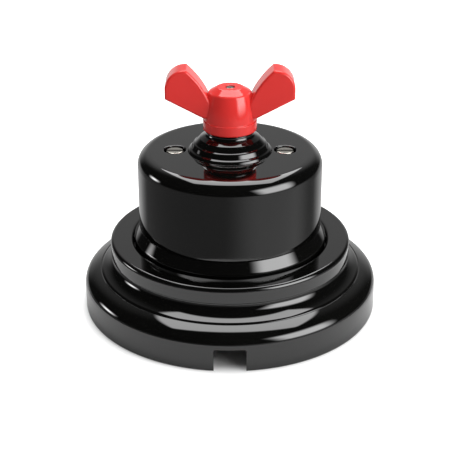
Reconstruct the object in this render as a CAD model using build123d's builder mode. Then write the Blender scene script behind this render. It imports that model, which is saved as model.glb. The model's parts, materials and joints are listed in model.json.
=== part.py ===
from build123d import *

import os
from math import cos, radians, sin, tan

# Porcelain two-way rotary switch on a round moulded base. Millimetres, +Z away from the wall.
# The origin is the centre of the wall face. The cable notch faces -Y, the knob's wings lie along X.
# Sizes run outwards from the spindle and upwards from the wall, so each piece follows the one it fits.

# Clearances
slip = 0.05            # shaft in bush, screw shank in its own thread
loose = 0.2            # screw shank in a plain hole, nut in its pocket
play = 0.2             # end play of the spindle
sweep_gap = 0.3        # moving piece past a fixed one

# Spindle and rotor
spindle_radius = 3.0
pivot_radius = 2.0
pivot_length = 5.2
rotor_radius = 9.0
rotor_height = 5.1
cam_width = 10.0
cam_height = 4.2
cam_corner = 1.2
drive_pin_radius = 1.0
drive_pin_length = 14.0

# Wiper blade
blade_reach = 14.6
blade_width = 5.0
blade_thickness = 0.6
blade_hub_radius = 8.4
blade_angle = 45.0
blade_rivet_offset = 7.0
blade_rivet_radius = 0.9
blade_rivet_head_radius = 1.4
blade_rivet_head = 0.5

# Contacts and terminals, one on each of three diagonals
way_one_angle = 45.0
way_two_angle = 135.0
common_angle = 225.0
wire_angle = 315.0
contact_thickness = 1.0
contact_width = 6.0
way_pad_start = 9.6
common_pad_start = 4.6
terminal_gap = 1.9
terminal_length = 7.0
terminal_width = 8.0
terminal_height = 9.0
terminal_room = 3.75
wire_hole_radius = 1.6
wire_hole_height = 5.0
wire_hole_depth = 5.6
wire_passage_radius = 5.0

# Screws
screw_radius = 1.5
cheese_head_radius = 2.7
cheese_head_height = 1.9
slot_width = 0.8
slot_depth = 0.9
nut_across_flats = 5.5
nut_height = 2.4
thread_bite = 8.0

# Cover posts
post_radius = 3.0
post_gap = 1.05
post_headroom = 0.3

# Yoke that carries the upper bush
yoke_gap = 1.8
yoke_sheet = 1.2
yoke_width = 13.0
yoke_bend = 0.8
bush_radius = 4.6
bush_flange_radius = 6.0
bush_flange = 1.0
bush_collar = 1.2
pivot_bush_wall = 1.2
pivot_bush_floor = 0.8
washer_radius = 5.4
washer_thickness = 0.6
clip_radius = 4.8
clip_thickness = 0.8
clip_groove = 0.6
clip_mouth = 60.0

# Detent hairpin spring and the pin that it hangs on
spring_sheet = 0.5
spring_height = 2.6
spring_gap = 0.1
spring_lead = 6.5
spring_flare = 1.5
spring_pin_radius = 1.5
spring_pin_offset = 13.0
spring_pin_tenon = 1.0

# Mounting base, from the wall up
base_wall_height = 8.8
base_foot_round = 0.9
ogee_width = 10.55
ogee_height = 10.05
ogee_upper_lead = 5.5
ogee_lower_lead = 6.1
quirk_height = 0.55
ring_overhang = 1.15
ring_width = 7.85
ring_height = 5.6
ring_edge_round = 1.35
recess_depth = 4.0
recess_gap = 0.5
recess_edge_round = 1.2
deck_thickness = 5.5
base_wall = 7.4
cavity_wall_height = 8.0
cavity_shoulder = 7.5
notch_width = 10.5
notch_height = 8.1
notch_corner = 0.8
wall_hole_radius = 2.25
wall_hole_circle = 22.0
wall_hole_angle = 21.0
wall_boss_radius = 4.6
wall_head_radius = 4.0
wall_head_depth = 1.5

# Switch base
foot_height = 8.3
foot_flare = 1.8
foot_step = 0.35
foot_wall_height = 4.9
foot_bottom_round = 0.8
foot_top_round = 0.35
platform_height = 2.7
platform_gap = 0.3

# Cover
cap_wall = 4.1
cap_edge_round = 4.6
cap_foot_round = 0.45
cap_inner_round = 3.0
cap_top_thickness = 5.35
cover_headroom = 2.6
cover_screw_pocket_radius = 3.7
cover_screw_pocket_depth = 2.6
cover_screw_head_radius = 3.0
cover_screw_head_height = 2.0
cover_screw_dome = 0.6

# Neck of the cover, a bell of three steps whose treads slope outwards
neck_radius = 8.0
neck_upright = 1.15
neck_bore_gap = 0.5
neck_tread_slope = 31.0
neck_upper_tread = 2.2
neck_upper_riser = 1.55
neck_upper_drop = 1.58
neck_middle_tread = 0.55
neck_middle_riser = 0.75
neck_middle_drop = 1.5
neck_lower_tread = 0.75
neck_lower_riser = 0.5
neck_lower_drop = 0.82
neck_root_round = 0.6
neck_edge_round = 1.0

# Knob
knob_gap = 0.4
collar_radius = 9.05
collar_height = 3.5
collar_round = 0.6
hub_step = 0.3
hub_top_radius = 7.1
hub_height = 11.3
hub_top_round = 1.2
crown_radius = 4.3
crown_height = 1.6
crown_round = 0.8
wing_thickness = 8.8
wing_edge_round = 0.8
wing_reach = 21.5
wing_low_height = 11.6
wing_edge_height = 3.25
wing_round = 6.6
wing_peak_turn = 5.0
wing_root_reach = 6.4
wing_root_height = 10.2
wing_inner_bulge = 0.8
wing_lower_reach = 8.7
wing_lower_height = 4.85
drive_square = 4.2
drive_gap = 0.05
drive_depth = 9.6
knob_screw_radius = 1.0
knob_screw_head_radius = 1.4
knob_screw_head_height = 1.5
knob_screw_pocket_radius = 1.6
knob_screw_pocket_depth = 1.7
knob_screw_length = 10.0
knob_screw_slot = 0.5

# Places worked out from the sizes above, outwards
post_offset = blade_reach + post_gap + post_radius
terminal_inner = blade_reach + terminal_gap
terminal_outer = terminal_inner + terminal_length
terminal_circle = terminal_inner + terminal_length / 2
cover_inner_radius = terminal_outer + terminal_room
cap_radius = cover_inner_radius + cap_wall
flare_top_radius = cap_radius - foot_step
foot_radius = cap_radius + foot_flare
platform_radius = cover_inner_radius - platform_gap
recess_radius = foot_radius + recess_gap
ring_radius = recess_radius + ring_width
cove_radius = ring_radius - ring_overhang
base_radius = cove_radius + ogee_width
cavity_radius = base_radius - base_wall
ceiling_radius = cavity_radius - cavity_shoulder
yoke_leg = blade_reach + yoke_gap
yoke_screw_offset = yoke_leg + yoke_sheet + yoke_bend + cheese_head_radius + loose
yoke_foot_end = yoke_screw_offset + cheese_head_radius

# Levels worked out from the sizes above, upwards
cove_top = base_wall_height + ogee_height
ring_bottom = cove_top + quirk_height
ring_top = ring_bottom + ring_height
recess_floor = ring_top - recess_depth
deck_bottom = recess_floor - deck_thickness
seat_level = recess_floor + foot_height
floor_level = seat_level + platform_height
contact_top = floor_level + contact_thickness
blade_bottom = contact_top + sweep_gap
rotor_bottom = blade_bottom + blade_thickness
rotor_top = rotor_bottom + rotor_height
cam_top = rotor_top + cam_height
washer_top = cam_top + washer_thickness
bush_bottom = washer_top + play
yoke_plate_bottom = bush_bottom + bush_flange
yoke_plate_top = yoke_plate_bottom + yoke_sheet
bush_top = yoke_plate_top + bush_collar
clip_bottom = bush_top + play
clip_top = clip_bottom + clip_thickness
ceiling_level = clip_top + cover_headroom
cap_top = ceiling_level + cap_top_thickness
neck_drop = neck_upper_drop + neck_middle_drop + neck_lower_drop
neck_fall = (neck_upper_tread + neck_middle_tread + neck_lower_tread) * tan(radians(neck_tread_slope))
neck_top = cap_top + neck_drop + neck_fall + neck_upright
knob_bottom = neck_top + knob_gap
collar_top = knob_bottom + collar_height
knob_top = collar_top + hub_height
drive_bottom = knob_bottom + knob_gap
drive_top = drive_bottom + drive_depth
spindle_shoulder = floor_level + sweep_gap
pivot_bottom = spindle_shoulder - pivot_length
pivot_bush_bottom = pivot_bottom - play - pivot_bush_floor
pivot_bush_radius = pivot_radius + slip + pivot_bush_wall
drive_pin_level = rotor_bottom + rotor_height / 2
spring_bottom = rotor_top + blade_rivet_head + sweep_gap
spring_arm = cam_width / 2 + spring_gap + spring_sheet / 2
screw_hole_radius = screw_radius + loose
thread_radius = screw_radius + slip / 2
knob_screw_seat = knob_top - knob_screw_pocket_depth

os.makedirs("parts", exist_ok=True)


def corner(sketch, across, height):
    """The corner of a sketch that lies nearest to a point of its own plane."""
    return sketch.vertices().sort_by_distance((across, height, 0))[0]


def radial_plane(angle, radius, height):
    """A plane that faces outwards along a spoke at this angle."""
    spoke = Vector(cos(radians(angle)), sin(radians(angle)), 0)
    return Plane(origin=spoke * radius + Vector(0, 0, height), x_dir=(0, 0, 1), z_dir=spoke)


def save(piece, name):
    piece.part.label = name
    export_step(piece.part, f"parts/{name}.step")


# Mounting base: black glazed porcelain, one pressing with a hollow back
with BuildPart() as mounting_base:
    with BuildSketch(Plane.XZ) as base_profile:
        with BuildLine():
            Polyline(
                (0, deck_bottom),
                (0, recess_floor),
                (recess_radius, recess_floor),
                (recess_radius, ring_top),
                (ring_radius, ring_top),
                (ring_radius, ring_bottom),
                (cove_radius, ring_bottom),
                (cove_radius, cove_top),
            )
            Bezier(
                (cove_radius, cove_top),
                (cove_radius, cove_top - ogee_upper_lead),
                (base_radius, base_wall_height + ogee_lower_lead),
                (base_radius, base_wall_height),
            )
            Polyline(
                (base_radius, base_wall_height),
                (base_radius, 0),
                (cavity_radius, 0),
                (cavity_radius, cavity_wall_height),
                (ceiling_radius, deck_bottom),
                (0, deck_bottom),
            )
        make_face()
        fillet(corner(base_profile, ring_radius, ring_top), ring_edge_round)
        fillet(corner(base_profile, recess_radius, ring_top), recess_edge_round)
        fillet(corner(base_profile, base_radius, 0), base_foot_round)
    revolve(axis=Axis.Z)
    with BuildSketch(Plane.XY):
        with PolarLocations(wall_hole_circle, 2, start_angle=wall_hole_angle):
            Circle(wall_boss_radius)
    extrude(amount=deck_bottom)
    with BuildSketch(Plane.XZ.offset(ceiling_radius)) as notch_profile:
        with Locations((0, 0)):
            Rectangle(notch_width, 2 * notch_height)
        fillet(notch_profile.vertices().group_by(Axis.Y)[-1], notch_corner)
    extrude(amount=base_radius, mode=Mode.SUBTRACT)
    with PolarLocations(wall_hole_circle, 2, start_angle=wall_hole_angle):
        Hole(wall_hole_radius)
    with PolarLocations(post_offset, 2):
        Hole(screw_hole_radius)
    with PolarLocations(terminal_circle, 1, start_angle=wire_angle):
        Hole(wire_passage_radius)
save(mounting_base, "mounting_base")

# Switch base: the porcelain insulator that carries the works, with a flared foot
with BuildPart() as switch_base:
    with BuildSketch(Plane.XZ) as insulator_profile:
        with BuildLine():
            Polyline(
                (0, recess_floor),
                (foot_radius, recess_floor),
                (foot_radius, recess_floor + foot_wall_height),
                (flare_top_radius, seat_level),
                (platform_radius, seat_level),
                (platform_radius, floor_level),
                (0, floor_level),
                close=True,
            )
        make_face()
        fillet(corner(insulator_profile, foot_radius, recess_floor + foot_wall_height), foot_bottom_round)
        fillet(corner(insulator_profile, flare_top_radius, seat_level), foot_top_round)
    revolve(axis=Axis.Z)
    with PolarLocations(post_offset, 2):
        Hole(screw_hole_radius)
    with Locations((0, 0, floor_level)):
        with PolarLocations(wall_hole_circle, 2, start_angle=wall_hole_angle):
            CounterBoreHole(wall_hole_radius, wall_head_radius, wall_head_depth)
    with PolarLocations(terminal_circle, 1, start_angle=wire_angle):
        Hole(wire_passage_radius)
    with PolarLocations(terminal_circle, 3, start_angle=way_one_angle, angular_range=270):
        Hole(screw_hole_radius)
    with BuildSketch(Plane.XY.offset(recess_floor)):
        with PolarLocations(terminal_circle, 3, start_angle=way_one_angle, angular_range=270):
            Circle(cheese_head_radius + loose)
    extrude(amount=cheese_head_height + loose, mode=Mode.SUBTRACT)
    with PolarLocations(yoke_screw_offset, 2, start_angle=90):
        Hole(screw_hole_radius)
    with BuildSketch(Plane.XY.offset(recess_floor)):
        with PolarLocations(yoke_screw_offset, 2, start_angle=90):
            RegularPolygon(nut_across_flats / 2 + loose, 6, major_radius=False)
    extrude(amount=nut_height + loose, mode=Mode.SUBTRACT)
    with BuildSketch(Plane.XY.offset(pivot_bush_bottom)):
        Circle(pivot_bush_radius)
    extrude(amount=floor_level - pivot_bush_bottom, mode=Mode.SUBTRACT)
save(switch_base, "switch_base")

# Cover: porcelain cap with a turned neck for the spindle
neck_steps = (
    (neck_upper_tread, neck_upper_riser, neck_upper_drop),
    (neck_middle_tread, neck_middle_riser, neck_middle_drop),
    (neck_lower_tread, neck_lower_riser, neck_lower_drop),
)
neck_roots = [(neck_radius, neck_top - neck_upright)]
neck_edges = []
for tread, riser, drop in neck_steps:
    across, level = neck_roots[-1]
    edge = (across + tread, level - tread * tan(radians(neck_tread_slope)))
    neck_edges.append(edge)
    neck_roots.append((edge[0] + riser, edge[1] - drop))
neck_outline = [point for step in zip(neck_roots, neck_edges) for point in step]
with BuildPart() as cover:
    with BuildSketch(Plane.XZ) as cover_profile:
        with BuildLine():
            Polyline(
                *neck_outline,
                neck_roots[-1],
                (cap_radius, cap_top),
                (cap_radius, seat_level),
                (cover_inner_radius, seat_level),
                (cover_inner_radius, ceiling_level),
                (spindle_radius + neck_bore_gap, ceiling_level),
                (spindle_radius + neck_bore_gap, neck_top),
                (neck_radius, neck_top),
                close=True,
            )
        make_face()
        for root in neck_roots:
            fillet(corner(cover_profile, *root), neck_root_round)
        for edge in neck_edges:
            fillet(corner(cover_profile, *edge), neck_edge_round)
        fillet(corner(cover_profile, cap_radius, cap_top), cap_edge_round)
        fillet(corner(cover_profile, cap_radius, seat_level), cap_foot_round)
        fillet(corner(cover_profile, cover_inner_radius, ceiling_level), cap_inner_round)
    revolve(axis=Axis.Z)
    with Locations((0, 0, cap_top)):
        with PolarLocations(post_offset, 2):
            CounterBoreHole(screw_hole_radius, cover_screw_pocket_radius, cover_screw_pocket_depth)
save(cover, "cover")

# Brass posts: the cover screws enter them from above, the base screws from below
post_top = ceiling_level - post_headroom
with BuildPart() as cover_posts:
    with BuildSketch(Plane.XY.offset(floor_level)):
        with PolarLocations(post_offset, 2):
            Circle(post_radius)
    extrude(amount=post_top - floor_level)
    with BuildSketch(Plane.XY.offset(floor_level)):
        with PolarLocations(post_offset, 2):
            Circle(thread_radius)
    extrude(amount=post_top - floor_level, mode=Mode.SUBTRACT)
save(cover_posts, "cover_posts")

# Cover screws: slotted, with low domed heads
cover_screw_seat = cap_top - cover_screw_pocket_depth
cover_screw_top = cover_screw_seat + cover_screw_head_height
with BuildPart() as cover_screws:
    with BuildSketch(Plane.XY.offset(post_top - thread_bite)):
        with PolarLocations(post_offset, 2):
            Circle(screw_radius)
    extrude(amount=cover_screw_seat - post_top + thread_bite)
    with BuildSketch(Plane.XY.offset(cover_screw_seat)):
        with PolarLocations(post_offset, 2):
            Circle(cover_screw_head_radius)
    extrude(amount=cover_screw_head_height)
    fillet(cover_screws.edges().group_by(Axis.Z)[-1], cover_screw_dome)
    with BuildSketch(Plane.XY.offset(cover_screw_top)):
        with PolarLocations(post_offset, 2):
            Rectangle(2 * cover_screw_head_radius + 2 * slip, slot_width)
    extrude(amount=-slot_depth, mode=Mode.SUBTRACT)
save(cover_screws, "cover_screws")

# Base screws: from behind the mounting base up into the posts
with BuildPart() as base_screws:
    with BuildSketch(Plane.XY.offset(deck_bottom - cheese_head_height)):
        with PolarLocations(post_offset, 2):
            Circle(cheese_head_radius)
    extrude(amount=cheese_head_height)
    with BuildSketch(Plane.XY.offset(deck_bottom)):
        with PolarLocations(post_offset, 2):
            Circle(screw_radius)
    extrude(amount=floor_level + thread_bite - deck_bottom)
    with BuildSketch(Plane.XY.offset(deck_bottom - cheese_head_height)):
        with PolarLocations(post_offset, 2):
            Rectangle(2 * cheese_head_radius + 2 * slip, slot_width)
    extrude(amount=slot_depth, mode=Mode.SUBTRACT)
save(base_screws, "base_screws")

# Yoke: a folded steel strip that stands over the rotor on two feet
with BuildPart() as yoke:
    leg_outer = yoke_leg + yoke_sheet
    foot_top = floor_level + yoke_sheet
    with BuildSketch(Plane.YZ) as yoke_profile:
        with BuildLine():
            Polyline(
                (0, yoke_plate_bottom),
                (yoke_leg, yoke_plate_bottom),
                (yoke_leg, floor_level),
                (yoke_foot_end, floor_level),
                (yoke_foot_end, foot_top),
                (leg_outer, foot_top),
                (leg_outer, yoke_plate_top),
                (0, yoke_plate_top),
                close=True,
            )
        make_face()
        fillet(corner(yoke_profile, yoke_leg, yoke_plate_bottom), yoke_bend)
        fillet(corner(yoke_profile, leg_outer, foot_top), yoke_bend)
        fillet(corner(yoke_profile, leg_outer, yoke_plate_top), yoke_bend + yoke_sheet)
        fillet(corner(yoke_profile, yoke_leg, floor_level), yoke_bend + yoke_sheet)
        mirror(about=Plane.YZ)
    extrude(amount=yoke_width / 2, both=True)
    with PolarLocations(yoke_screw_offset, 2, start_angle=90):
        Hole(screw_hole_radius)
    with Locations((0, 0, yoke_plate_top)):
        Hole(bush_radius, depth=2 * yoke_sheet)
    with Locations((0, spring_pin_offset, yoke_plate_top)):
        Hole(spring_pin_tenon, depth=2 * yoke_sheet)
save(yoke, "yoke")

# Yoke screws and the hexagon nuts let into the back of the switch base
with BuildPart() as yoke_screws:
    screw_head_seat = floor_level + yoke_sheet
    screw_tip = recess_floor + loose
    with BuildSketch(Plane.XY.offset(screw_tip)):
        with PolarLocations(yoke_screw_offset, 2, start_angle=90):
            Circle(screw_radius)
    extrude(amount=screw_head_seat - screw_tip)
    with BuildSketch(Plane.XY.offset(screw_head_seat)):
        with PolarLocations(yoke_screw_offset, 2, start_angle=90):
            Circle(cheese_head_radius)
    extrude(amount=cheese_head_height)
    with BuildSketch(Plane.XY.offset(screw_head_seat + cheese_head_height)):
        with PolarLocations(yoke_screw_offset, 2, start_angle=90):
            Rectangle(2 * cheese_head_radius + 2 * slip, slot_width)
    extrude(amount=-slot_depth, mode=Mode.SUBTRACT)
save(yoke_screws, "yoke_screws")

with BuildPart() as yoke_nuts:
    with BuildSketch(Plane.XY.offset(recess_floor + loose)):
        with PolarLocations(yoke_screw_offset, 2, start_angle=90):
            RegularPolygon(nut_across_flats / 2, 6, major_radius=False)
            Circle(thread_radius, mode=Mode.SUBTRACT)
    extrude(amount=nut_height)
save(yoke_nuts, "yoke_nuts")

# Flanged brass bush held in the yoke
with BuildPart() as spindle_bush:
    with BuildSketch(Plane.XY.offset(bush_bottom)):
        Circle(bush_flange_radius)
    extrude(amount=bush_flange)
    with BuildSketch(Plane.XY.offset(yoke_plate_bottom)):
        Circle(bush_radius)
    extrude(amount=bush_top - yoke_plate_bottom)
    with Locations((0, 0, bush_top)):
        Hole(spindle_radius + slip)
save(spindle_bush, "spindle_bush")

# Brass cup let into the switch base, for the foot of the spindle
with BuildPart() as pivot_bush:
    with BuildSketch(Plane.XY.offset(pivot_bush_bottom)):
        Circle(pivot_bush_radius)
    extrude(amount=floor_level - pivot_bush_bottom)
    with Locations((0, 0, floor_level)):
        Hole(pivot_radius + slip, depth=floor_level - pivot_bush_bottom - pivot_bush_floor)
save(pivot_bush, "pivot_bush")


def contact_strip(name, angle, pad_start):
    """A brass strip from the terminal inwards, with a round end under the wiper blade."""
    with BuildPart() as strip:
        with BuildSketch(Plane.XY.offset(floor_level)):
            with PolarLocations((pad_start + contact_width / 2 + terminal_outer) / 2, 1, start_angle=angle):
                Rectangle(terminal_outer - pad_start - contact_width / 2, contact_width)
            with PolarLocations(pad_start + contact_width / 2, 1, start_angle=angle):
                Circle(contact_width / 2)
            with PolarLocations(terminal_circle, 1, start_angle=angle):
                Circle(screw_hole_radius, mode=Mode.SUBTRACT)
        extrude(amount=contact_thickness)
    save(strip, name)


def terminal_block(name, angle):
    """A brass block with a wire hole from outside and screw holes from both ends."""
    wire_level = contact_top + wire_hole_height
    with BuildPart() as block:
        with BuildSketch(Plane.XY.offset(contact_top)):
            with PolarLocations(terminal_circle, 1, start_angle=angle):
                Rectangle(terminal_length, terminal_width)
        extrude(amount=terminal_height)
        with BuildSketch(radial_plane(angle, terminal_outer, wire_level)):
            Circle(wire_hole_radius)
        extrude(amount=-wire_hole_depth, mode=Mode.SUBTRACT)
        with BuildSketch(Plane.XY.offset(contact_top)):
            with PolarLocations(terminal_circle, 1, start_angle=angle):
                Circle(thread_radius)
        extrude(amount=terminal_height, mode=Mode.SUBTRACT)
    save(block, name)


contact_strip("common_contact", common_angle, common_pad_start)
contact_strip("way_one_contact", way_one_angle, way_pad_start)
contact_strip("way_two_contact", way_two_angle, way_pad_start)
terminal_block("common_terminal", common_angle)
terminal_block("way_one_terminal", way_one_angle)
terminal_block("way_two_terminal", way_two_angle)

# Wire clamping screws, above the wire holes
with BuildPart() as terminal_clamp_screws:
    clamp_head_seat = contact_top + terminal_height
    clamp_tip = contact_top + wire_hole_height + wire_hole_radius
    with BuildSketch(Plane.XY.offset(clamp_tip)):
        with PolarLocations(terminal_circle, 3, start_angle=way_one_angle, angular_range=270):
            Circle(screw_radius)
    extrude(amount=clamp_head_seat - clamp_tip)
    with BuildSketch(Plane.XY.offset(clamp_head_seat)):
        with PolarLocations(terminal_circle, 3, start_angle=way_one_angle, angular_range=270):
            Circle(cheese_head_radius)
    extrude(amount=cheese_head_height)
    with BuildSketch(Plane.XY.offset(clamp_head_seat + cheese_head_height)):
        with PolarLocations(terminal_circle, 3, start_angle=way_one_angle, angular_range=270):
            Rectangle(2 * cheese_head_radius + 2 * slip, slot_width)
    extrude(amount=-slot_depth, mode=Mode.SUBTRACT)
save(terminal_clamp_screws, "terminal_clamp_screws")

# Terminal fixing screws, from the back of the switch base up into the blocks
with BuildPart() as terminal_fixing_screws:
    fixing_seat = recess_floor + cheese_head_height + loose
    fixing_tip = contact_top + wire_hole_height - wire_hole_radius
    with BuildSketch(Plane.XY.offset(fixing_seat)):
        with PolarLocations(terminal_circle, 3, start_angle=way_one_angle, angular_range=270):
            Circle(screw_radius)
    extrude(amount=fixing_tip - fixing_seat)
    with BuildSketch(Plane.XY.offset(fixing_seat)):
        with PolarLocations(terminal_circle, 3, start_angle=way_one_angle, angular_range=270):
            Circle(cheese_head_radius)
    extrude(amount=-cheese_head_height)
    with BuildSketch(Plane.XY.offset(fixing_seat - cheese_head_height)):
        with PolarLocations(terminal_circle, 3, start_angle=way_one_angle, angular_range=270):
            Rectangle(2 * cheese_head_radius + 2 * slip, slot_width)
    extrude(amount=slot_depth, mode=Mode.SUBTRACT)
save(terminal_fixing_screws, "terminal_fixing_screws")

# Spring pin: riveted into the yoke, it hangs inside the bend of the detent spring
with BuildPart() as spring_pin:
    with BuildSketch(Plane.XY.offset(spring_bottom)):
        with Locations((0, spring_pin_offset)):
            Circle(spring_pin_radius)
    extrude(amount=yoke_plate_bottom - spring_bottom)
    with BuildSketch(Plane.XY.offset(yoke_plate_bottom)):
        with Locations((0, spring_pin_offset)):
            Circle(spring_pin_tenon)
    extrude(amount=yoke_sheet)
    with BuildSketch(Plane.XY.offset(yoke_plate_top)):
        with Locations((0, spring_pin_offset)):
            Circle(spring_pin_radius)
    extrude(amount=blade_rivet_head)
save(spring_pin, "spring_pin")

# Detent spring: a steel hairpin whose arms press on two flats of the cam
with BuildPart() as detent_spring:
    bend_centre = spring_pin_offset + spring_pin_radius + slip + spring_sheet / 2 - spring_arm
    with BuildSketch(Plane.XY.offset(spring_bottom)):
        with BuildLine():
            Polyline(
                (spring_arm + spring_sheet, -spring_lead - spring_flare),
                (spring_arm, -spring_lead),
                (spring_arm, bend_centre),
            )
            CenterArc((0, bend_centre), spring_arm, 0, 180)
            Polyline(
                (-spring_arm, bend_centre),
                (-spring_arm, -spring_lead),
                (-spring_arm - spring_sheet, -spring_lead - spring_flare),
            )
        trace(line_width=spring_sheet)
    extrude(amount=spring_height)
save(detent_spring, "detent_spring")

# Spindle: round in the bushes, square in the knob, with a groove for the clip
with BuildPart() as spindle:
    with BuildSketch(Plane.XZ):
        with BuildLine():
            Polyline(
                (0, pivot_bottom),
                (pivot_radius, pivot_bottom),
                (pivot_radius, spindle_shoulder),
                (spindle_radius, spindle_shoulder),
                (spindle_radius, clip_bottom),
                (spindle_radius - clip_groove, clip_bottom),
                (spindle_radius - clip_groove, clip_top),
                (spindle_radius, clip_top),
                (spindle_radius, drive_bottom),
                (0, drive_bottom),
                close=True,
            )
        make_face()
    revolve(axis=Axis.Z)
    with BuildSketch(Plane.XY.offset(drive_bottom)):
        Rectangle(drive_square, drive_square)
    extrude(amount=drive_depth)
    with Locations((0, 0, drive_top)):
        Hole(knob_screw_radius + slip / 2, depth=knob_screw_length)
    with BuildSketch(Plane.YZ):
        with Locations((0, drive_pin_level)):
            Circle(drive_pin_radius + slip / 2)
    extrude(amount=2 * spindle_radius, both=True, mode=Mode.SUBTRACT)
save(spindle, "spindle")

# Rotor: a moulded disc with the square detent cam on top
with BuildPart() as rotor:
    with BuildSketch(Plane.XY.offset(rotor_bottom)):
        Circle(rotor_radius)
    extrude(amount=rotor_height)
    with BuildSketch(Plane.XY.offset(rotor_top)):
        RectangleRounded(cam_width, cam_width, cam_corner)
    extrude(amount=cam_height)
    with Locations((0, 0, rotor_top)):
        Hole(spindle_radius + slip / 2)
        with PolarLocations(blade_rivet_offset, 2, start_angle=90):
            Hole(blade_rivet_radius + slip / 2)
    with BuildSketch(Plane.YZ):
        with Locations((0, drive_pin_level)):
            Circle(drive_pin_radius + slip / 2)
    extrude(amount=2 * rotor_radius, both=True, mode=Mode.SUBTRACT)
save(rotor, "rotor")

# Drive pin: a cross pin through the rotor and the spindle
with BuildPart() as drive_pin:
    with BuildSketch(Plane.YZ):
        with Locations((0, drive_pin_level)):
            Circle(drive_pin_radius)
    extrude(amount=drive_pin_length / 2, both=True)
save(drive_pin, "drive_pin")

# Wiper blade: a bronze ring with two arms that bridge the common strip to one way
with BuildPart() as wiper_blade:
    with BuildSketch(Plane.XY.offset(blade_bottom)):
        Circle(blade_hub_radius)
        SlotOverall(2 * blade_reach, blade_width, rotation=blade_angle)
        Circle(spindle_radius + slip / 2, mode=Mode.SUBTRACT)
        with PolarLocations(blade_rivet_offset, 2, start_angle=90):
            Circle(blade_rivet_radius + slip / 2, mode=Mode.SUBTRACT)
    extrude(amount=blade_thickness)
save(wiper_blade, "wiper_blade")

# Blade rivets: flush below, headed on top of the rotor
with BuildPart() as blade_rivets:
    with BuildSketch(Plane.XY.offset(blade_bottom)):
        with PolarLocations(blade_rivet_offset, 2, start_angle=90):
            Circle(blade_rivet_radius)
    extrude(amount=rotor_top - blade_bottom)
    with BuildSketch(Plane.XY.offset(rotor_top)):
        with PolarLocations(blade_rivet_offset, 2, start_angle=90):
            Circle(blade_rivet_head_radius)
    extrude(amount=blade_rivet_head)
save(blade_rivets, "blade_rivets")

# Thrust washer between the cam and the bush
with BuildPart() as thrust_washer:
    with BuildSketch(Plane.XY.offset(cam_top)):
        Circle(washer_radius)
        Circle(spindle_radius + slip, mode=Mode.SUBTRACT)
    extrude(amount=washer_thickness)
save(thrust_washer, "thrust_washer")

# Retaining clip in the groove above the bush, open on one side
with BuildPart() as retaining_clip:
    with BuildSketch(Plane.XY.offset(clip_bottom)):
        Circle(clip_radius)
        Circle(spindle_radius - clip_groove + slip / 2, mode=Mode.SUBTRACT)
        with BuildSketch(mode=Mode.SUBTRACT):
            with BuildLine():
                mouth_half = radians(clip_mouth / 2)
                Polyline(
                    (0, 0),
                    (2 * clip_radius * cos(mouth_half), 2 * clip_radius * sin(mouth_half)),
                    (2 * clip_radius * cos(mouth_half), -2 * clip_radius * sin(mouth_half)),
                    close=True,
                )
            make_face()
    extrude(amount=clip_thickness)
save(retaining_clip, "retaining_clip")

# Knob: one red moulding, a hub with a collar and two upswept wings
with BuildPart() as knob:
    with BuildSketch(Plane.XZ) as wing_profile:
        wing_low = knob_bottom + wing_low_height
        wing_edge_top = wing_low + wing_edge_height
        wing_root = (wing_root_reach, knob_bottom + wing_root_height)
        wing_lower = (wing_lower_reach, knob_bottom + wing_lower_height)
        with BuildLine():
            Polyline(
                wing_root,
                (wing_root_reach, wing_lower[1]),
                wing_lower,
                (wing_reach, wing_low),
                (wing_reach, wing_edge_top),
            )
            tip = CenterArc((wing_reach - wing_round, wing_edge_top), wing_round, 0, 90 + wing_peak_turn)
            SagittaArc(tip @ 1, wing_root, -wing_inner_bulge)
        make_face()
        mirror(about=Plane.YZ)
    extrude(amount=wing_thickness / 2, both=True)
    outline = knob.faces().filter_by(Axis.Y).edges()
    fillet(outline, wing_edge_round)
    with BuildSketch(Plane.XZ) as hub_profile:
        with BuildLine():
            Polyline(
                (0, knob_bottom),
                (collar_radius, knob_bottom),
                (collar_radius, collar_top),
                (collar_radius - hub_step, collar_top),
                (hub_top_radius, knob_top - crown_height),
                (crown_radius, knob_top),
                (0, knob_top),
                close=True,
            )
        make_face()
        fillet(corner(hub_profile, collar_radius, knob_bottom), collar_round)
        fillet(corner(hub_profile, hub_top_radius, knob_top - crown_height), hub_top_round)
        fillet(corner(hub_profile, crown_radius, knob_top), crown_round)
    revolve(axis=Axis.Z)
    with BuildSketch(Plane.XY.offset(knob_bottom)):
        Circle(spindle_radius + slip)
    extrude(amount=knob_gap, mode=Mode.SUBTRACT)
    with BuildSketch(Plane.XY.offset(drive_bottom)):
        Rectangle(drive_square + 2 * drive_gap, drive_square + 2 * drive_gap)
    extrude(amount=drive_depth + loose, mode=Mode.SUBTRACT)
    with Locations((0, 0, knob_top)):
        CounterBoreHole(knob_screw_radius + loose, knob_screw_pocket_radius, knob_screw_pocket_depth)
save(knob, "knob")

# Knob screw: slotted, let into the top of the hub
with BuildPart() as knob_screw:
    with BuildSketch(Plane.XY.offset(knob_screw_seat - knob_screw_length)):
        Circle(knob_screw_radius)
    extrude(amount=knob_screw_length)
    with BuildSketch(Plane.XY.offset(knob_screw_seat)):
        Circle(knob_screw_head_radius)
    extrude(amount=knob_screw_head_height)
    fillet(knob_screw.edges().group_by(Axis.Z)[-1], knob_screw_slot)
    with BuildSketch(Plane.XY.offset(knob_screw_seat + knob_screw_head_height)):
        Rectangle(2 * knob_screw_head_radius + 2 * slip, knob_screw_slot)
    extrude(amount=-knob_screw_slot, mode=Mode.SUBTRACT)
save(knob_screw, "knob_screw")
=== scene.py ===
import json
from math import atan2, cos, pi, radians, sin, tan

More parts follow.
